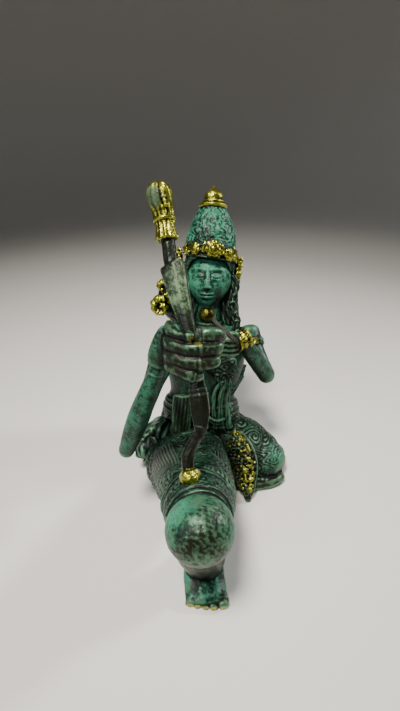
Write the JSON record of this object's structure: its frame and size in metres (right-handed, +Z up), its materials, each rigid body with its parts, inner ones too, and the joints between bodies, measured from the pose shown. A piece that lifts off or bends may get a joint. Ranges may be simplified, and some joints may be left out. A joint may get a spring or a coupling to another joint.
{
  "type": "kneeling archer figure",
  "caption": "Cast bronze figure of a seated archer with one leg drawn up in front, tall crown, bow held upright in one fist and a ball-headed arrow drawn back by the other hand.",
  "frame": {"origin": "flat underside of the seat, under the middle of the hips", "axes": "+Z up, -Y the way the figure faces and its raised knee points, +X towards its folded left leg"},
  "size_m": [0.1443, 0.244, 0.2559],
  "materials": {
    "patinated_bronze": "verdigris over dark brown bronze, gilt where it is rubbed",
    "bow_bronze": "grey-green worn patina with gilt ends",
    "arrow_bronze": "dark brown, the ball point rubbed to gold"
  },
  "bodies": {
    "root": {"figure": "patinated_bronze", "bow": "bow_bronze", "arrow": "arrow_bronze"}
  },
  "joints": []
}
